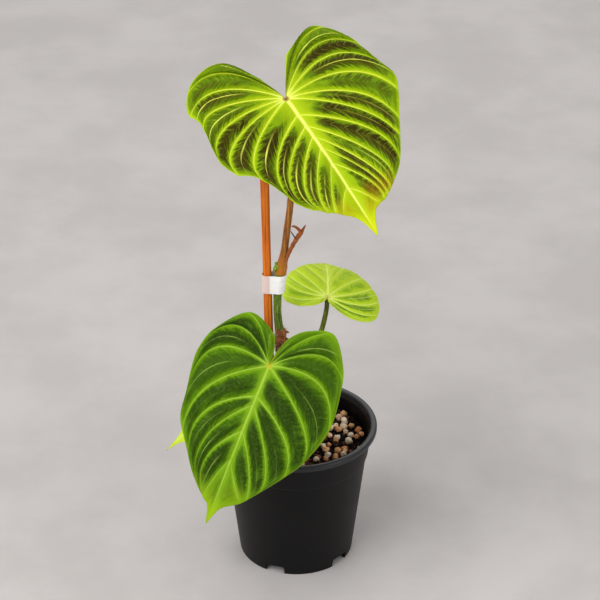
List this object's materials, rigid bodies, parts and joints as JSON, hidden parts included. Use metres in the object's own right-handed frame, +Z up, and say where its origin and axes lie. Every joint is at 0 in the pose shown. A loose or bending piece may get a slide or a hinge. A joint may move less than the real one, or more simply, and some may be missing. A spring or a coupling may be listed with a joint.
{
  "type": "potted philodendron verrucosum plant",
  "caption": "Potted climbing aroid with large velvety heart-shaped leaves on hairy stalks, its stem taped to a wooden stake in a round black nursery pot.",
  "frame": {"origin": "centre of the flat pad on the pot's underside, on the surface the pot stands on", "axes": "+Z up along the pot's axis; the plant is seen in the picture from -Y, with +X to the right"},
  "size_m": [0.166, 0.1911, 0.4123],
  "materials": {
    "pot": "black moulded plastic, soft satin, faint scuffs",
    "mix": "damp bark crumbs with pale and tan mineral granules",
    "cane": "orange-brown split wood, lengthwise grain",
    "stem": "brown bark with green young joints, fine pale hairs",
    "band": "matte white tape, slightly see-through over the cane",
    "stalk": "red-brown stalk with short pale bristles",
    "green_stalk": "olive-green stalk with fine hairs",
    "bract": "dry papery red-brown bract",
    "leaf": "velvety, bright veins over dark olive panels, maroon underside",
    "dark_leaf": "velvety dark green, lighter veins and margin, maroon underside",
    "young_leaf": "fresh yellow-green, paler veins"
  },
  "bodies": {
    "root": {"pot": "pot", "potting_mix": "mix", "stake": "cane", "stem": "stem", "tape": "band", "petiole_top": "stalk", "petiole_lower": "green_stalk", "petiole_small": "green_stalk", "petiole_rear": "green_stalk", "blade_top": "leaf", "blade_lower": "dark_leaf", "blade_small": "young_leaf", "blade_rear": "young_leaf", "cataphyll": "bract"}
  },
  "joints": []
}
